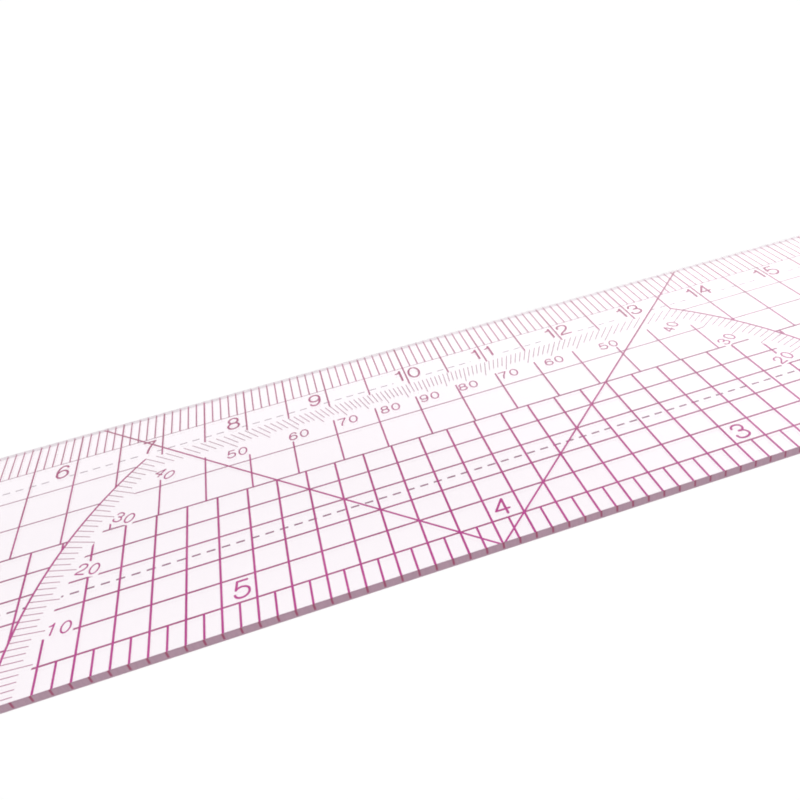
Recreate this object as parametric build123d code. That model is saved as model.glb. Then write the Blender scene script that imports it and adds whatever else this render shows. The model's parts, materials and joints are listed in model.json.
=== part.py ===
from build123d import *

import os
from math import asin, cos, degrees, radians, sin, tan

os.makedirs("parts", exist_ok=True)

# A clear see-through quilting ruler, 8 inches long. The blade is a laminate of two
# clear sheets with the graduations printed between them. One long edge is ruled in
# inches, the other in centimetres, and a half-round protractor stands on the
# 4 inch line. The origin is the middle of the underside. +X runs along the blade
# towards the inch zero, +Y from the inch edge to the centimetre edge, +Z up.

# ---- Driving dimensions, millimetres -------------------------------------------
inch = 25.4
length = 8 * inch
eighth = inch / 8
inch_rows = 6  # rows of eighth inch cells along the inch edge
inch_band = inch_rows * eighth
centimetre_band = 20.0
half_centimetre = 5.0
width = inch_band + centimetre_band

base_thickness = 0.44
cover_thickness = 0.45
ink_pass = 0.02  # one pass of ink
ink_passes = 3
corner_radius = 1.0
print_margin = 0.05  # ink stops short of the cut edges

inch_column_width = 0.22
sixteenth_width = 0.21
inch_row_width = 0.21
centimetre_column_width = 0.19
millimetre_width = 0.15
centimetre_row_widths = (0.10, 0.14, 0.155)  # counted from the centimetre edge
bias_width = 0.20
outline_width = 0.23
degree_width = 0.085

dash_length = 0.85
dash_pitch = 1.44
dash_shift = -0.3  # from the middle of the blade to the nearest dash's middle
inch_seam_width = 0.20
inch_seam_inset = 7 / 16 * inch
centimetre_seam_width = 0.12
centimetre_seam_inset = 5 / 16 * inch

protractor_radius = 45.0
degree_tick = 2.1
long_degree_tick = 3.1
arc_limit = 42  # the drawn arcs stop here, and the ticks go on along a straight top
flat_degree_tick = 2.0
flat_long_degree_tick = 2.85
flat_tick_gap = 0.25  # clear space below the ticks of the straight top
degree_digit_radius = 40.65
degree_digit_level = 26.15
upright_digit_shift = -0.1

inch_digit_height = 2.32
centimetre_digit_height = 2.5
degree_digit_height = 1.5
inch_stroke = 0.24
centimetre_stroke = 0.26
degree_stroke = 0.17
wide_aspect = 0.68  # width over height of the inch and degree figures
narrow_aspect = 0.62  # and of the centimetre figures
degree_digit_spacing = 0.87  # from digit to digit, over the digit height
centimetre_digit_pitch = 1.75
inch_figure_shift = 1.44  # from an inch line to its figure
five_shift = 1.88  # the 5 stands close to the far side of its cell
single_figure_shift = -1.55  # from a centimetre line to a single figure
pair_shift = 0.2  # and to a pair
centimetre_figure_gap = 0.45  # between the figures and the millimetre ticks
seam_break_width = 1.9  # the seam line stops around each centimetre figure
seam_break_margin = 0.2
digit_clearance = 0.28  # ruled lines stop this far from a degree number
upright_clearances = {50: 0.34, 60: 0.34, 70: 0.02, 80: 0.02, 90: 0.02}  # to either side

# ---- Places worked out from them -----------------------------------------------
near = -width / 2  # the inch edge
far = width / 2  # the centimetre edge
left = -length / 2  # centimetre zero
right = length / 2  # inch zero
divider = near + inch_band
tick_line = far - half_centimetre  # inner end of the millimetre ticks
ink_bottom = base_thickness
cover_bottom = base_thickness + ink_passes * ink_pass
band_top = protractor_radius * sin(radians(arc_limit))
inner_radius = protractor_radius - long_degree_tick
inner_top = band_top - flat_long_degree_tick - flat_tick_gap
inch_cells = round(length / eighth)
millimetres = int(length)
overrun = 2  # cutting shapes run this far past what they cut

row_pass, column_pass, bias_pass = range(ink_passes)


# ---- Ruling helpers ------------------------------------------------------------
def upright(x, low, high, thickness):
    """A line along Y."""
    return Pos(x, (low + high) / 2) * Rectangle(thickness, high - low)


def level(y, start, end, thickness):
    """A line along X."""
    return Pos((start + end) / 2, y) * Rectangle(end - start, thickness)


def printed(name, shapes, ink_level):
    """Lays flat ink shapes down as one pass of ink and writes them as a node."""
    faces = [face for shape in shapes for face in shape.faces()]
    bottom = ink_bottom + ink_level * ink_pass
    solids = [Pos(0, 0, bottom) * extrude(face, ink_pass, dir=(0, 0, 1)) for face in faces]
    write(name, Compound(children=[s for part in solids for s in part.solids()]))


def write(name, shape):
    export_step(shape, f"parts/{name}.step")


# ---- The protractor's clear band -----------------------------------------------
# No ruled line crosses the ring of degree ticks or the degree numbers.
protractor_centre = Pos(0, near)


def half_disc(radius, top):
    """The part of a disc on the protractor's centre that lies below a level."""
    slab = Rectangle(2 * (radius + overrun), top + overrun)
    return Circle(radius) & Pos(0, (top - overrun) / 2) * slab


tick_band = protractor_centre * (
    half_disc(protractor_radius + outline_width / 2, band_top)
    - half_disc(inner_radius, inner_top)
)


# ---- Numbers -------------------------------------------------------------------
# Each digit is drawn in strokes of one width with round ends, like the light
# lettering of a pantograph engraver.
def digit_shape(digit, height, aspect, stroke):
    """One digit, centred on the origin."""
    tall = height - stroke
    wide = height * aspect - stroke

    def place(u, v):
        return ((u - 0.5) * wide, (v - 0.5) * tall)

    def line(*points):
        places = [place(u, v) for u, v in points]
        ends = [Pos(*p) * Circle(stroke / 2) for p in places]
        return [trace(Line(a, b), stroke) for a, b in zip(places, places[1:])] + ends

    def curve(*points):
        places = [place(u, v) for u, v in points]
        ends = [Pos(*p) * Circle(stroke / 2) for p in (places[0], places[-1])]
        return [trace(Spline(*places), stroke)] + ends

    def ring(v, half_wide, half_tall):
        reach = stroke / 2
        a, b = half_wide * wide, half_tall * tall
        hoop = Ellipse(a + reach, b + reach) - Ellipse(a - reach, b - reach)
        return [Pos(*place(0.5, v)) * hoop]

    flag = [(0.56, 1.0), (0.44, 0.85), (0.16, 0.78)]
    neck = [(0.04, 0.72), (0.16, 0.93), (0.52, 1.0), (0.88, 0.90), (0.93, 0.70)]
    neck += [(0.66, 0.42), (0.20, 0.20), (0.0, 0.0)]
    upper_bow = [(0.06, 0.78), (0.22, 0.96), (0.52, 1.0), (0.86, 0.88), (0.84, 0.64), (0.42, 0.54)]
    lower_bow = [(0.42, 0.54), (0.86, 0.46), (0.98, 0.20), (0.50, 0.0), (0.12, 0.06), (0.0, 0.25)]
    belly = [(0.08, 0.50), (0.34, 0.62), (0.66, 0.62), (0.94, 0.50)]
    belly += [(0.96, 0.20), (0.52, 0.0), (0.12, 0.07), (0.0, 0.22)]
    hook = [(0.93, 0.82), (0.78, 0.96), (0.52, 1.0), (0.18, 0.83), (0.02, 0.50), (0.03, 0.28)]
    leg = [(1.0, 1.0), (0.64, 0.60), (0.42, 0.25), (0.36, 0.0)]
    strokes = {
        0: lambda: ring(0.5, 0.5, 0.5),
        1: lambda: line((0.56, 0.0), (0.56, 1.0)) + curve(*flag),
        2: lambda: curve(*neck) + line((0.0, 0.0), (1.0, 0.0)),
        3: lambda: curve(*upper_bow) + curve(*lower_bow),
        4: lambda: line((0.74, 0.0), (0.74, 1.0), (0.0, 0.30), (1.0, 0.30)),
        5: lambda: line((0.88, 1.0), (0.20, 1.0), (0.08, 0.50)) + curve(*belly),
        6: lambda: ring(0.31, 0.48, 0.31) + curve(*hook),
        7: lambda: line((0.0, 1.0), (1.0, 1.0)) + curve(*leg),
        8: lambda: ring(0.76, 0.42, 0.24) + ring(0.27, 0.50, 0.27),
        9: lambda: [Rot(0, 0, 180) * shape for shape in ring(0.31, 0.48, 0.31) + curve(*hook)],
    }
    pieces = strokes[digit]()
    return pieces[0] + pieces[1:] if len(pieces) > 1 else pieces[0]


def number(value, height, aspect, stroke, pitch):
    """The digits of a number side by side, centred on the origin."""
    digits = [int(letter) for letter in str(value)]
    first = -(len(digits) - 1) / 2 * pitch
    return [
        Pos(first + place * pitch, 0) * digit_shape(digit, height, aspect, stroke)
        for place, digit in enumerate(digits)
    ]


# ---- Degree scale --------------------------------------------------------------
def degree_line(angle, outer, inner, thickness):
    """A radial tick between two radii."""
    middle = Pos((outer + inner) / 2, 0) * Rectangle(outer - inner, thickness)
    return protractor_centre * Rot(0, 0, angle) * middle


def degree_reach(angle, ring_length, flat_length):
    """Outer and inner radius of the tick at an angle above the inch edge."""
    if angle < arc_limit:
        return protractor_radius - outline_width / 2, protractor_radius - ring_length
    return band_top / sin(radians(angle)), (band_top - flat_length) / sin(radians(angle))


degree_ticks = []
long_degree_ticks = []
for degree in range(1, 180):
    slope = min(degree, 180 - degree)
    if slope == 45:
        continue  # the bias line lies here
    if degree % 5 == 0:
        outer, inner = degree_reach(slope, long_degree_tick, flat_long_degree_tick)
        long_degree_ticks.append(degree_line(degree, outer, inner, degree_width))
    else:
        outer, inner = degree_reach(slope, degree_tick, flat_degree_tick)
        degree_ticks.append(degree_line(degree, outer, inner, degree_width))

# The numbers run from 10 at each side to 90 at the top. Those beside the arcs
# turn with their ticks, and those under the straight top stand upright.
degree_pitch = degree_digit_height * degree_digit_spacing
degree_width_over_all = degree_pitch + degree_digit_height * wide_aspect
degree_numbers = []
degree_boxes = []
box_height = degree_digit_height + 2 * digit_clearance
for degree in range(10, 180, 10):
    slope = min(degree, 180 - degree)
    side = 1 if degree < 90 else -1
    if slope < arc_limit:
        spot = Rot(0, 0, degree) * Pos(degree_digit_radius, 0) * Rot(0, 0, 0 if side > 0 else 180)
    else:
        offset = (band_top - flat_long_degree_tick) / tan(radians(slope))
        spot = Pos(side * offset + upright_digit_shift, degree_digit_level)
    spot = protractor_centre * spot
    figures = number(slope, degree_digit_height, wide_aspect, degree_stroke, degree_pitch)
    degree_numbers += [spot * figure for figure in figures]
    clearance = upright_clearances.get(slope, digit_clearance)
    degree_boxes.append(spot * Rectangle(degree_width_over_all + 2 * clearance, box_height))

clear_zone = tick_band + degree_boxes


def knocked_out(lines):
    """Ruled lines with the protractor's clear band and number boxes taken out."""
    return [line - clear_zone for line in lines]


# ---- Clear sheets --------------------------------------------------------------
outline = RectangleRounded(length, width, corner_radius)
write("base_sheet", extrude(outline, base_thickness))
write("cover_sheet", Pos(0, 0, cover_bottom) * extrude(outline, cover_thickness))

# ---- Inch side -----------------------------------------------------------------
row_start, row_end = left + print_margin, right - print_margin
foot = near + print_margin
head = far - print_margin

inch_columns = [
    upright(right - k * eighth, foot, divider - inch_row_width / 2, inch_column_width)
    for k in range(1, inch_cells)
]
printed("inch_grid_columns", knocked_out(inch_columns), column_pass)

inch_lines = [
    level(near + k * eighth, row_start, row_end, inch_row_width) for k in range(1, inch_rows)
]
printed("inch_grid_rows", knocked_out(inch_lines), row_pass)

sixteenths = [
    upright(right - (k + 0.5) * eighth, foot, near + eighth, sixteenth_width)
    for k in range(inch_cells)
]
printed("inch_sixteenth_ticks", knocked_out(sixteenths), column_pass)

# Each figure stands in the first cell right of its line.
inch_numbers = []
for k in range(1, round(length / inch)):
    shift = five_shift if k == 5 else inch_figure_shift
    spot = Pos(right - k * inch + shift, near + 1.5 * eighth)
    figures = number(k, inch_digit_height, wide_aspect, inch_stroke, 0)
    inch_numbers += [spot * figure for figure in figures]
printed("inch_numbers", inch_numbers, column_pass)


# ---- Centimetre side -----------------------------------------------------------
half_columns = [
    upright(left + x, divider + inch_row_width / 2, head, centimetre_column_width)
    for x in range(5, millimetres, 5)
]
printed("centimetre_grid_columns", knocked_out(half_columns), column_pass)

half_lines = [
    level(far - k * half_centimetre, row_start, row_end, thickness)
    for k, thickness in enumerate(centimetre_row_widths, start=1)
]
upper_rows = [half_lines[0]] + knocked_out(half_lines[1:])
printed("centimetre_grid_rows", upper_rows, row_pass)

millimetre_ticks = [
    upright(left + x, tick_line, head, millimetre_width)
    for x in range(1, millimetres + 1)
    if x % 5
]
printed("millimetre_ticks", millimetre_ticks, column_pass)

# A single figure stands left of its line. A pair straddles the line.
centimetre_level = tick_line - centimetre_figure_gap - centimetre_digit_height / 2
centimetre_numbers = []
for k in range(1, millimetres // 10 + 1):
    shift = single_figure_shift if k < 10 else pair_shift
    spot = Pos(left + 10 * k + shift, centimetre_level)
    figures = number(
        k, centimetre_digit_height, narrow_aspect, centimetre_stroke, centimetre_digit_pitch
    )
    centimetre_numbers += [spot * figure for figure in figures]
printed("centimetre_numbers", centimetre_numbers, column_pass)


# ---- Lines along the blade -----------------------------------------------------
divider_line = knocked_out([level(divider, row_start, row_end, inch_row_width)])
printed("divider_line", divider_line, row_pass)


def dashes(y, thickness):
    """A dashed seam line from end to end of the blade."""
    reach = int((length / 2 - dash_length - abs(dash_shift)) / dash_pitch)
    first = dash_shift - dash_length / 2
    starts = [first + k * dash_pitch for k in range(-reach, reach + 1)]
    return [level(y, start, start + dash_length, thickness) for start in starts]


near_dashes = dashes(near + inch_seam_inset, inch_seam_width)
printed("inch_seam_line", knocked_out(near_dashes), row_pass)
break_height = centimetre_digit_height + 2 * seam_break_margin
number_boxes = [
    Pos(figure.bounding_box().center()) * Rectangle(seam_break_width, break_height)
    for figure in centimetre_numbers
]
far_dashes = dashes(far - centimetre_seam_inset, centimetre_seam_width)
cleared_dashes = [dash - number_boxes for dash in far_dashes]
printed("centimetre_seam_line", cleared_dashes, row_pass)

# ---- Protractor ----------------------------------------------------------------
printed("degree_ticks", degree_ticks, column_pass)
printed("long_degree_ticks", long_degree_ticks, column_pass)
printed("degree_numbers", degree_numbers, column_pass)


def arc_stroke(start, end):
    """A stroke along the protractor's rim, drawn in one degree steps."""
    steps = int(end - start)
    turns = [radians(start + (end - start) * k / steps) for k in range(steps + 1)]
    outer = protractor_radius + outline_width / 2
    inner = protractor_radius - outline_width / 2
    rim = [(outer * cos(turn), outer * sin(turn)) for turn in turns]
    rim += [(inner * cos(turn), inner * sin(turn)) for turn in reversed(turns)]
    return protractor_centre * make_face(Polyline(*rim, close=True))


foot_angle = degrees(asin(print_margin / (protractor_radius - outline_width / 2)))
arcs = [arc_stroke(foot_angle, arc_limit), arc_stroke(180 - arc_limit, 180 - foot_angle)]
printed("protractor_outline", arcs, bias_pass)

# ---- Bias lines: 45 degrees from the 4 inch mark to the centimetre edge --------
blade_print = Rectangle(length - 2 * print_margin, width - 2 * print_margin)
bias_length = width / cos(radians(45)) + overrun
for name, angle in (("bias_line_right", 45), ("bias_line_left", 135)):
    run = Rot(0, 0, angle) * Pos(bias_length / 2, 0) * Rectangle(bias_length, bias_width)
    printed(name, [(protractor_centre * run) & blade_print], bias_pass)
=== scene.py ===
import json
import math

import bmesh
import bpy
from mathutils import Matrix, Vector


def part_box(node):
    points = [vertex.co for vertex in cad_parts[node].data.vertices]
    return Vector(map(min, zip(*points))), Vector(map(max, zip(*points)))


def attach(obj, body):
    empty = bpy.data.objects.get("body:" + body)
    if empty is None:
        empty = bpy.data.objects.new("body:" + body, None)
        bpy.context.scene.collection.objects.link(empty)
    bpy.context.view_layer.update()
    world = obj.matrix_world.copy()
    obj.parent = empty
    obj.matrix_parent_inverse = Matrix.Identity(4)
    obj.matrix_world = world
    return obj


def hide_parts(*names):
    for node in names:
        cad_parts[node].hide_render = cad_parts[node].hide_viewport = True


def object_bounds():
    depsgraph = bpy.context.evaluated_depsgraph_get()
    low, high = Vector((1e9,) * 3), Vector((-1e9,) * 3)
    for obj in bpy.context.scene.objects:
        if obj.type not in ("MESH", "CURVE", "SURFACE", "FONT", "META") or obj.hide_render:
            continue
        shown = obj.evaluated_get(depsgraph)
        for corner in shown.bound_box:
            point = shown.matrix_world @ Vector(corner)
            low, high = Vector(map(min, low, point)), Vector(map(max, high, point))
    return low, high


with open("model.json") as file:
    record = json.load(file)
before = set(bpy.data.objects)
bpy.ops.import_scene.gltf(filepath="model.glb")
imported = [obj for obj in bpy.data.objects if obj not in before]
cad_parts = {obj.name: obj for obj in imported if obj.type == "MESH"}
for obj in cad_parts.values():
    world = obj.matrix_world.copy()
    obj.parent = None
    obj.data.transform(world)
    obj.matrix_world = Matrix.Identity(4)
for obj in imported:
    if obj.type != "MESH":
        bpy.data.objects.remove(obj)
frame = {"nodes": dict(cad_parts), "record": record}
cad_low, cad_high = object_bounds()

# A quilting ruler is two clear sheets with the graduations printed between them. The
# script dresses the blade first, then the prints, and puts the ruler on a white table.
# Sizes are in metres.

# ---- The clear blade ------------------------------------------------------------
# Two sheets of clear rigid vinyl, welded face to face over the print in a hot press
# and die cut as one, so the finished blade is a single clear solid. The die leaves
# a hair of roundness on every edge.
mm = 0.001
corner_radius = 1.0 * mm
edge_softness = 0.04 * mm
corner_steps = 10
base_low, base_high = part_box("base_sheet")
cover_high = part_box("cover_sheet")[1]


def blade_outline(inset):
    """Points round the blade's plan, with its corners rounded."""
    radius = corner_radius - inset
    half_length = (base_high.x - base_low.x) / 2 - inset
    half_width = (base_high.y - base_low.y) / 2 - inset
    points = []
    for corner, (side_x, side_y) in enumerate(((1, 1), (-1, 1), (-1, -1), (1, -1))):
        for step in range(corner_steps + 1):
            turn = math.radians(90 * (corner + step / corner_steps))
            x = side_x * (half_length - radius) + radius * math.cos(turn)
            y = side_y * (half_width - radius) + radius * math.sin(turn)
            points.append((x, y))
    return points


levels = (
    (base_low.z, edge_softness),
    (base_low.z + edge_softness, 0),
    (cover_high.z - edge_softness, 0),
    (cover_high.z, edge_softness),
)
blade_mesh = bpy.data.meshes.new("clear_blade")
form = bmesh.new()
rings = [[form.verts.new((x, y, z)) for x, y in blade_outline(inset)] for z, inset in levels]
for below, above in zip(rings, rings[1:]):
    for k in range(len(below)):
        after = (k + 1) % len(below)
        side = form.faces.new((below[k], below[after], above[after], above[k]))
        side.material_index = 1
form.faces.new(reversed(rings[0]))
form.faces.new(rings[-1])
form.normal_update()
form.to_mesh(blade_mesh)
form.free()
blade = bpy.data.objects.new("clear_blade", blade_mesh)
bpy.context.scene.collection.objects.link(blade)

# A sheet as thin and clear as this casts hardly any shadow, so the blade is left out of
# shadows and of the light that the table gives back.
blade.visible_shadow = False
blade.visible_diffuse = False


def add_node(tree, kind, inputs, **settings):
    """A node with its settings, and with each input a number or another node's output."""
    node = tree.nodes.new(kind)
    for key, value in settings.items():
        setattr(node, key, value)
    for key, value in inputs.items():
        if isinstance(value, bpy.types.NodeSocket):
            tree.links.new(value, node.inputs[key])
        else:
            node.inputs[key].default_value = value
    return node


def calculate(tree, operation, first, second=0.0):
    return add_node(tree, "ShaderNodeMath", {0: first, 1: second}, operation=operation).outputs[0]


def spread(tree, value, start, end, low=0.0, high=1.0):
    """A value that goes smoothly from low to high as another goes from start to end."""
    inputs = {"Value": value, "From Min": start, "From Max": end, "To Min": low, "To Max": high}
    kind = "ShaderNodeMapRange"
    return add_node(tree, kind, inputs, interpolation_type="SMOOTHSTEP").outputs["Result"]


def blend(tree, share, first, second):
    """One colour where the share is 0, and another where it is 1."""
    node = add_node(tree, "ShaderNodeMix", {}, data_type="RGBA")
    for key, value in (("Factor", share), ("A", first), ("B", second)):
        socket = next(s for s in node.inputs if s.name == key and s.enabled)
        if isinstance(value, bpy.types.NodeSocket):
            tree.links.new(value, socket)
        else:
            socket.default_value = value
    return next(s for s in node.outputs if s.enabled)


def noise(tree, position, size, detail=3.0):
    """Cloudy patches of about one size."""
    scale = calculate(tree, "DIVIDE", 1.0, size)
    inputs = {"Vector": position, "Scale": scale, "Detail": detail}
    return add_node(tree, "ShaderNodeTexNoise", inputs).outputs["Fac"]


def new_group(name, inputs, outputs):
    """An empty node group, with what its inputs give and what its outputs take."""
    group = bpy.data.node_groups.new(name, "ShaderNodeTree")
    for label, kind in inputs.items():
        group.interface.new_socket(label, in_out="INPUT", socket_type=kind)
    for label in outputs:
        group.interface.new_socket(label, in_out="OUTPUT", socket_type="NodeSocketFloat")
    given = group.nodes.new("NodeGroupInput").outputs
    result = group.nodes.new("NodeGroupOutput").inputs
    return group, given, result


def use_group(tree, group, inputs):
    return add_node(tree, "ShaderNodeGroup", inputs, node_tree=group).outputs


def new_material(name):
    """A material with its node tree, its shader's inputs and the place on the object."""
    material = bpy.data.materials.new(name)
    material.use_nodes = True
    tree = material.node_tree
    position = tree.nodes.new("ShaderNodeTexCoord").outputs["Object"]
    return material, tree, tree.nodes["Principled BSDF"].inputs, position


def raise_surface(tree, surface, height, depth, strength):
    """Feeds a height to the shader as relief of a given depth."""
    inputs = {"Height": height, "Distance": depth, "Strength": strength}
    bump = add_node(tree, "ShaderNodeBump", inputs)
    tree.links.new(bump.outputs["Normal"], surface["Normal"])


def screen_colour(red, green, blue):
    """A colour picked on a screen, 0 to 255, as light."""
    parts = [c / 255 for c in (red, green, blue)]
    return (*[p / 12.92 if p <= 0.04045 else ((p + 0.055) / 1.055) ** 2.4 for p in parts], 1)


# Handling leaves a patchy haze, and fine rubs along the blade, on anything that lies
# about a sewing room.
number, vector = "NodeSocketFloat", "NodeSocketVector"
rub_stretch = 0.06
rub_fineness = 0.03
patch_range, patch_share = (0.35, 0.7), 0.7
rub_range, rub_share = (0.55, 0.75), 0.3
handling, given, result = new_group(
    "handling_haze",
    {"Position": vector, "Patch Size": number, "Clean": number, "Hazy": number},
    ("Roughness", "Height"),
)
patches = noise(handling, given["Position"], given["Patch Size"])
lengthways = add_node(
    handling,
    "ShaderNodeVectorMath",
    {0: given["Position"], 1: (rub_stretch, 1, 1)},
    operation="MULTIPLY",
).outputs["Vector"]
rub_size = calculate(handling, "MULTIPLY", given["Patch Size"], rub_fineness)
rubs = noise(handling, lengthways, rub_size, 2.0)
haze = calculate(
    handling,
    "ADD",
    calculate(handling, "MULTIPLY", spread(handling, patches, *patch_range), patch_share),
    calculate(handling, "MULTIPLY", spread(handling, rubs, *rub_range), rub_share),
)
worst = calculate(handling, "SUBTRACT", given["Hazy"], given["Clean"])
rough = calculate(handling, "ADD", given["Clean"], calculate(handling, "MULTIPLY", haze, worst))
handling.links.new(rough, result["Roughness"])
handling.links.new(rubs, result["Height"])

vinyl_tint = (0.99, 0.932, 0.972, 1)
clear_vinyl, tree, surface, position = new_material("clear_vinyl")
surface["Base Color"].default_value = vinyl_tint
surface["Transmission Weight"].default_value = 1
surface["IOR"].default_value = 1.5
gloss = {"Patch Size": 30 * mm, "Clean": 0.012, "Hazy": 0.05}
marks = use_group(tree, handling, {"Position": position, **gloss})
tree.links.new(marks["Roughness"], surface["Roughness"])
raise_surface(tree, surface, marks["Height"], depth=0.004 * mm, strength=0.3)
blade_mesh.materials.append(clear_vinyl)

# The die shears the blade's edge to a satin face. Every printed line that runs off the
# blade shows there as a short dark mark, painted on as the print seen through the clear
# edge. The inch edge is painted mauve-grey for the light that comes through it tinted by
# the print, and the top and bottom rims of the edge are painted darker as painted shade.
inch = 25.4 * mm
sixteenth = inch / 16
mark_width = 0.2 * mm
mark_softness = 0.04 * mm
mark_bottom, mark_top = 0.12 * mm, 0.32 * mm
inch_side_start, inch_side_full = cad_low.y + 1.0 * mm, cad_low.y + 0.2 * mm
metric_side_start, metric_side_full = cad_high.y - 0.2 * mm, cad_high.y - 0.02 * mm
rim_start, rim_full, rim_shade = 0.24 * mm, 0.47 * mm, 0.16
metric_mark_strength = 0.4
streak_size, streak_stretch = 0.15 * mm, 0.15
line_ends, given, result = new_group(
    "line_ends", {"Along": number, "Pitch": number, "Width": number, "Softness": number}, ("Mask",)
)
turns = calculate(line_ends, "DIVIDE", given["Along"], given["Pitch"])
turn = calculate(line_ends, "FRACT", calculate(line_ends, "ADD", turns, 0.5))
offset = calculate(line_ends, "ABSOLUTE", calculate(line_ends, "SUBTRACT", turn, 0.5))
distance = calculate(line_ends, "MULTIPLY", offset, given["Pitch"])
half = calculate(line_ends, "MULTIPLY", given["Width"], 0.5)
outer = calculate(line_ends, "ADD", half, given["Softness"])
inner = calculate(line_ends, "SUBTRACT", half, given["Softness"])
line_ends.links.new(spread(line_ends, distance, outer, inner), result["Mask"])

cut_edge, tree, surface, position = new_material("cut_edge")
axes = add_node(tree, "ShaderNodeSeparateXYZ", {"Vector": position}).outputs
to_inch_zero = calculate(tree, "SUBTRACT", cad_high.x, axes["X"])
to_centimetre_zero = calculate(tree, "SUBTRACT", axes["X"], cad_low.x)
ends = {"Width": mark_width, "Softness": mark_softness}
inch_ends = use_group(tree, line_ends, {"Along": to_inch_zero, "Pitch": sixteenth, **ends})
metric_ends = use_group(tree, line_ends, {"Along": to_centimetre_zero, "Pitch": mm, **ends})
print_level = spread(tree, axes["Z"], mark_bottom, mark_top)
on_inch_edge = spread(tree, axes["Y"], inch_side_start, inch_side_full)
on_metric_edge = spread(tree, axes["Y"], metric_side_start, metric_side_full)
shear = add_node(
    tree,
    "ShaderNodeVectorMath",
    {0: position, 1: (1, 1, streak_stretch)},
    operation="MULTIPLY",
).outputs["Vector"]
streaks = noise(tree, shear, streak_size)
plain = blend(tree, streaks, screen_colour(222, 211, 217), screen_colour(238, 232, 235))
# Painted light: the inch edge is coloured mauve-grey for the light that comes through the clear
# edge tinted by the print.
painted_light_through_edge = blend(tree, streaks, screen_colour(156, 125, 142), screen_colour(178, 143, 161))
edge = blend(tree, on_inch_edge, plain, painted_light_through_edge)
middle = calculate(tree, "SUBTRACT", axes["Z"], (cad_low.z + cad_high.z) / 2)
from_middle = calculate(tree, "ABSOLUTE", middle)
# Painted shade: the top and bottom rims of the edge are darkened towards a deep mauve.
painted_rim_shade = spread(tree, from_middle, rim_start, rim_full, 0.0, rim_shade)
edge = blend(tree, painted_rim_shade, edge, screen_colour(120, 70, 95))
dark = calculate(tree, "MULTIPLY", inch_ends["Mask"], on_inch_edge)
dark = calculate(tree, "MULTIPLY", dark, print_level)
edge = blend(tree, dark, edge, screen_colour(146, 52, 92))
faint = calculate(tree, "MULTIPLY", metric_ends["Mask"], on_metric_edge)
faint = calculate(tree, "MULTIPLY", faint, metric_mark_strength)
edge = blend(tree, faint, edge, screen_colour(170, 110, 145))
tree.links.new(edge, surface["Base Color"])
satin = {"Patch Size": 10 * mm, "Clean": 0.3, "Hazy": 0.5}
marks = use_group(tree, handling, {"Position": position, **satin})
tree.links.new(marks["Roughness"], surface["Roughness"])
raise_surface(tree, surface, streaks, depth=0.01 * mm, strength=0.5)
blade_mesh.materials.append(cut_edge)

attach(blade, "root")
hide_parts("base_sheet", "cover_sheet")

# ---- The prints ------------------------------------------------------------------
# Screen ink, laid on the base sheet in three passes before the cover goes on. The
# film varies a little in thickness, and its tone goes from bright magenta at the inch
# edge to a duller wine colour. The dashed seam lines are in a greyer ink.
ink_film, given, result = new_group(
    "ink_film",
    {"Position": vector, "Patch Size": number, "Mesh Size": number, "Variation": number},
    ("Thinness", "Height"),
)
ink_range = (0.3, 0.7)
ink_patch_share, thread_share = 0.6, 0.4
patches = noise(ink_film, given["Position"], given["Patch Size"])
threads = noise(ink_film, given["Position"], given["Mesh Size"], 1.0)
mottle = calculate(
    ink_film,
    "ADD",
    calculate(ink_film, "MULTIPLY", spread(ink_film, patches, *ink_range), ink_patch_share),
    calculate(ink_film, "MULTIPLY", spread(ink_film, threads, *ink_range), thread_share),
)
thinness = calculate(ink_film, "MULTIPLY", mottle, given["Variation"])
ink_film.links.new(thinness, result["Thinness"])
ink_film.links.new(threads, result["Height"])
ink_roughness = 0.5


def screen_ink(name, near_colour, far_colour, thin_colour):
    """Ink that goes from one tone at the inch edge to another at the far edge."""
    ink, tree, surface, position = new_material(name)
    axes = add_node(tree, "ShaderNodeSeparateXYZ", {"Vector": position}).outputs
    reach = {"Value": axes["Y"], "From Min": cad_low.y, "From Max": cad_high.y}
    across = add_node(tree, "ShaderNodeMapRange", reach).outputs["Result"]
    tone = blend(tree, across, screen_colour(*near_colour), screen_colour(*far_colour))
    sizes = {"Patch Size": 6 * mm, "Mesh Size": 0.12 * mm, "Variation": 0.3}
    film = use_group(tree, ink_film, {"Position": position, **sizes})
    tone = blend(tree, film["Thinness"], tone, screen_colour(*thin_colour))
    tree.links.new(tone, surface["Base Color"])
    rough = calculate(tree, "ADD", ink_roughness, film["Thinness"])
    tree.links.new(rough, surface["Roughness"])
    surface["Specular IOR Level"].default_value = 0.1
    raise_surface(tree, surface, film["Height"], depth=0.005 * mm, strength=0.4)
    return ink


inks = {
    "magenta_ink": screen_ink("magenta_ink", (168, 20, 126), (140, 55, 84), (220, 110, 175)),
    "mauve_ink": screen_ink("mauve_ink", (152, 40, 104), (116, 62, 84), (205, 130, 175)),
}
seam_ink = screen_ink("grey_seam_ink", (128, 42, 88), (105, 90, 106), (190, 150, 178))
for part in frame["record"]["subparts"]:
    if part["material_slot"] in inks:
        printing = frame["nodes"][part["node"]]
        seam = part["node"].endswith("seam_line")
        printing.data.materials.clear()
        printing.data.materials.append(seam_ink if seam else inks[part["material_slot"]])
        printing.visible_shadow = False
        printing.visible_diffuse = False

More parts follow.
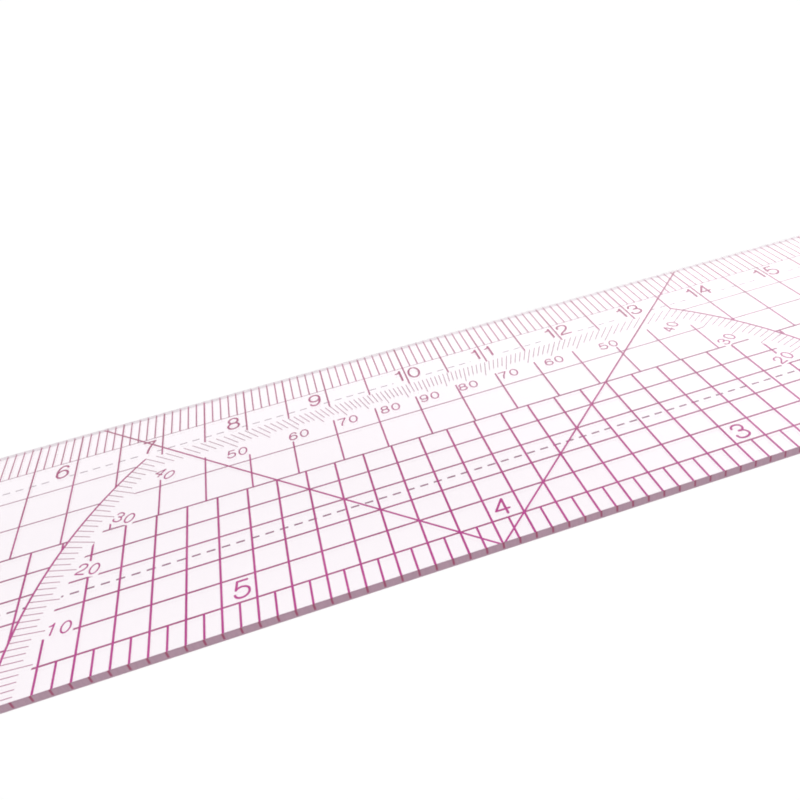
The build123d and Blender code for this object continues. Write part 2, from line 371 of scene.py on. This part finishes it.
# ---- The table ------------------------------------------------------------------
# A large white laminate top, matt, with only the faintest unevenness of tone. The
# ruler lies on it under its own weight.
table_half = 4
gap_under_blade = 0.04 * mm
table_mesh = bpy.data.meshes.new("table_top")
corners = [(x * table_half, y * table_half, 0) for x, y in ((-1, -1), (1, -1), (1, 1), (-1, 1))]
table_mesh.from_pydata(corners, [], [(0, 1, 2, 3)])
table = bpy.data.objects.new("table_top", table_mesh)
table.location.z = cad_low.z - gap_under_blade
bpy.context.scene.collection.objects.link(table)
duller_white, brighter_white = (0.895, 0.895, 0.895, 1), (0.905, 0.905, 0.905, 1)
white_laminate, tree, surface, position = new_material("white_laminate")
clouds = noise(tree, position, 50 * mm)
laminate = blend(tree, clouds, duller_white, brighter_white)
tree.links.new(laminate, surface["Base Color"])
surface["Roughness"].default_value = 0.9
surface["Specular IOR Level"].default_value = 0
table_mesh.materials.append(white_laminate)

# ---- Light ----------------------------------------------------------------------
# A white room, brighter overhead, with one wide bright window low down behind the
# ruler, taller to the right. The blade mirrors it, so the print fades that way.
ceiling_light = 1.16
wall_light = 0.62
back_wall_light = 0.80
window_light = 1.4
window_slant = 0.26
window_full, window_gone = 0.34, 0.65
ceiling_start, ceiling_full = 0.15, 0.7
back_wall_start, back_wall_full = 0.1, 0.5
seen_light = 1.1  # the camera sees a plain white ground in place of the room
picture_softness = 1.9

room = bpy.data.worlds.new("studio")
room.use_nodes = True
tree = room.node_tree
background = tree.nodes["Background"].inputs
direction = tree.nodes.new("ShaderNodeTexCoord").outputs["Generated"]
axes = add_node(tree, "ShaderNodeSeparateXYZ", {"Vector": direction}).outputs
slant = calculate(tree, "MULTIPLY", axes["X"], window_slant)
height = calculate(tree, "SUBTRACT", axes["Z"], slant)
window = spread(tree, height, window_full, window_gone, window_light, 0.0)
around = spread(tree, axes["Z"], ceiling_start, ceiling_full, wall_light, ceiling_light)
back_wall = calculate(tree, "SUBTRACT", calculate(tree, "ADD", window, back_wall_light), around)
behind = spread(tree, axes["Y"], back_wall_start, back_wall_full)
light = calculate(tree, "ADD", calculate(tree, "MULTIPLY", back_wall, behind), around)
ray = tree.nodes.new("ShaderNodeLightPath").outputs
seen = calculate(
    tree, "MULTIPLY", ray["Is Camera Ray"], calculate(tree, "SUBTRACT", seen_light, light)
)
tree.links.new(calculate(tree, "ADD", light, seen), background["Strength"])
background["Color"].default_value = (1, 1, 1, 1)
bpy.context.scene.world = room
bpy.context.scene.view_settings.view_transform = "Standard"
bpy.context.scene.cycles.filter_width = picture_softness

# ---- Camera ---------------------------------------------------------------------
# It looks down along the blade from just in front of the inch edge.
camera_place = (-0.01082, -0.06723, 0.05039)
camera_turn = (55.361, 8.763, -16.043)  # degrees
lens = bpy.data.cameras.new("camera")
lens.sensor_width = 36
lens.lens = 34.23
lens.shift_x = -0.0626
lens.clip_start, lens.clip_end = 0.005, 20
camera = bpy.data.objects.new("camera", lens)
camera.location = camera_place
camera.rotation_euler = [math.radians(angle) for angle in camera_turn]
bpy.context.scene.collection.objects.link(camera)
bpy.context.scene.camera = camera
